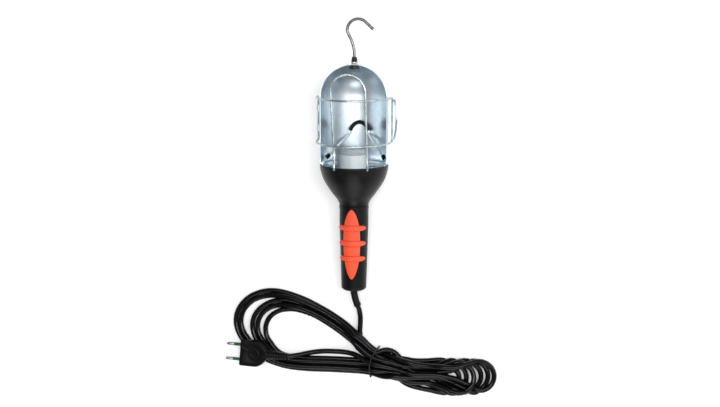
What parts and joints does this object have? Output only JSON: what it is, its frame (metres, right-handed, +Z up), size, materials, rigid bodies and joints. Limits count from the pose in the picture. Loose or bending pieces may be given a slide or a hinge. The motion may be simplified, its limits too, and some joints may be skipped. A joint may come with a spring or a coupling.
{
  "type": "work light",
  "caption": "Portable inspection work light: hooked sheet reflector, hinged wire guard, screw lampholder, moulded handle with grip, mains lead and plug.",
  "frame": {"origin": "on the surface the lamp lies on, under the middle of the lamp's own box without its lead and plug", "axes": "+Z up from the surface, +Y along the lamp from the handle to the hook, +X to the right when the open front is seen from above; the lamp's axis rises 9.9 degrees from handle to hook"},
  "size_m": [0.3481, 0.4674, 0.1041],
  "materials": {
    "black_plastic": "satin moulded black plastic",
    "orange_rubber": "matte soft-touch orange-red rubber",
    "galvanised_sheet": "bright galvanised steel sheet, bluish grey",
    "zinc_wire": "bright zinc-plated steel wire",
    "white_thermoset": "off-white moulded thermoset",
    "black_rubber": "glossy black rubber sheath",
    "nickel": "nickel-plated brass",
    "brass": "bare brass",
    "green_sleeve": "dark green plastic sleeve",
    "brown_insulation": "brown core insulation",
    "blue_insulation": "blue core insulation"
  },
  "bodies": {
    "lamp": {"handle_body": "black_plastic", "hank_tie": "black_plastic", "plug_body": "black_plastic", "grip_front": "orange_rubber", "reflector_shell": "galvanised_sheet", "reflector_base": "galvanised_sheet", "hinge_clip_1": "galvanised_sheet", "hinge_clip_2": "galvanised_sheet", "latch_catch": "galvanised_sheet", "hook_washer": "zinc_wire", "reflector_stay": "zinc_wire", "base_screw_1": "zinc_wire", "base_screw_2": "zinc_wire", "base_screw_3": "zinc_wire", "terminal_screw_1": "zinc_wire", "terminal_screw_2": "zinc_wire", "clamp_screw_1": "zinc_wire", "clamp_screw_2": "zinc_wire", "lampholder_body": "white_thermoset", "lampholder_ring": "white_thermoset", "lampholder_nut": "white_thermoset", "holder_core": "white_thermoset", "cord_clamp_front": "white_thermoset", "cord_clamp_back": "white_thermoset", "cable_boot": "black_rubber", "cable_inner": "black_rubber", "cable_lead": "black_rubber", "cable_hank": "black_rubber", "plug_strain_relief": "black_rubber", "stay_bend_sleeve": "black_rubber", "stay_foot_sleeve_1": "black_rubber", "stay_foot_sleeve_2": "black_rubber", "screw_shell": "nickel", "plug_pin_1": "nickel", "plug_pin_2": "nickel", "terminal_1": "brass", "terminal_2": "brass", "pin_sleeve_1": "green_sleeve", "pin_sleeve_2": "green_sleeve", "conductor_brown": "brown_insulation", "conductor_blue": "blue_insulation"},
    "guard": {"guard_frame": "zinc_wire", "guard_arch": "zinc_wire", "guard_finger_bow": "zinc_wire"},
    "hook": {"hook": "zinc_wire", "hook_bush": "black_plastic", "hook_nut": "black_plastic"},
    "contact": {"centre_contact": "brass"}
  },
  "joints": [
    {"name": "guard_hinge", "type": "hinge", "parent": "lamp", "child": "guard", "pos_m": [-0.04931, 0.04743, 0.04636], "axis": [0, -0.9851, -0.1721], "range_deg": [0, 110]},
    {"name": "hook_swivel", "type": "hinge", "parent": "lamp", "child": "hook", "pos_m": [-0.0028, 0.11388, 0.06406], "axis": [0, 0.9851, 0.1721], "continuous": true},
    {"name": "contact_press", "type": "slide", "parent": "lamp", "child": "contact", "axis": [0, -0.9851, -0.1721], "range_m": [0, 0.0015], "stiffness_N_per_m": 800}
  ]
}
